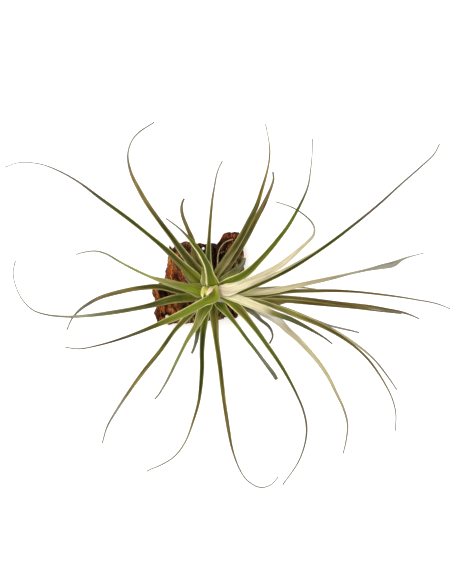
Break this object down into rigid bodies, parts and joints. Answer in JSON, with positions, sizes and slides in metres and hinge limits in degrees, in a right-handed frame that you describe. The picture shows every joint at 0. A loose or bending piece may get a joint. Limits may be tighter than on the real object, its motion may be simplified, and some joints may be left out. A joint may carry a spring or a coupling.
{
  "type": "air plant",
  "caption": "Air plant on a chip of bark: a flat rosette of narrow channelled leaves that taper to arching, curling thread-fine tips, held by wiry roots",
  "frame": {"origin": "on the flat back of the bark chip, under the axis of the rosette", "axes": "+Z out of the rosette towards the viewer of the picture, +X to the right and +Y to the top of the front view"},
  "size_m": [0.2231, 0.1832, 0.0644],
  "materials": {
    "bark": "rough reddish bark with a dark hollow",
    "stem": "dry, overlapping leaf bases",
    "root": "dry wiry root",
    "pin": "pale, smooth",
    "leaf_green": "satin, fine scales",
    "leaf_fresh": "satin, fine scales",
    "leaf_dark": "satin, fine scales",
    "leaf_olive": "satin, fine scales",
    "leaf_brown": "dry, matt",
    "leaf_tan": "dry, matt",
    "leaf_cream": "pale, covered in fine scales",
    "leaf_silver": "grey-green, covered in fine scales",
    "heart": "young, satin",
    "heart_pale": "young, pale with a flush of pink"
  },
  "bodies": {
    "root": {"bark": "bark", "bark_pin_lower": "pin", "bark_pin_upper": "pin", "root_top": "root", "root_left": "root", "root_lower": "root", "root_right": "root", "stem": "stem", "leaf_01": "leaf_green", "leaf_02": "leaf_dark", "leaf_03": "leaf_brown", "leaf_04": "leaf_fresh", "leaf_05": "leaf_green", "leaf_06": "leaf_olive", "leaf_07": "leaf_brown", "leaf_08": "leaf_silver", "leaf_09": "leaf_fresh", "leaf_10": "leaf_cream", "leaf_11": "leaf_dark", "leaf_12": "leaf_tan", "leaf_13": "leaf_brown", "leaf_14": "leaf_olive", "leaf_15": "leaf_brown", "leaf_16": "leaf_fresh", "leaf_17": "leaf_tan", "leaf_18": "leaf_dark", "leaf_19": "leaf_cream", "leaf_20": "leaf_tan", "leaf_21": "leaf_dark", "leaf_22": "leaf_fresh", "leaf_23": "leaf_fresh", "leaf_24": "leaf_olive", "leaf_25": "leaf_dark", "leaf_26": "leaf_dark", "leaf_27": "leaf_silver", "leaf_28": "leaf_dark", "leaf_29": "leaf_fresh", "leaf_30": "leaf_silver", "leaf_31": "leaf_dark", "leaf_32": "leaf_silver", "leaf_33": "leaf_silver", "leaf_34": "leaf_dark", "leaf_35": "leaf_fresh", "heart_leaf_01": "heart", "heart_leaf_02": "heart_pale", "heart_leaf_03": "heart_pale"}
  },
  "joints": []
}
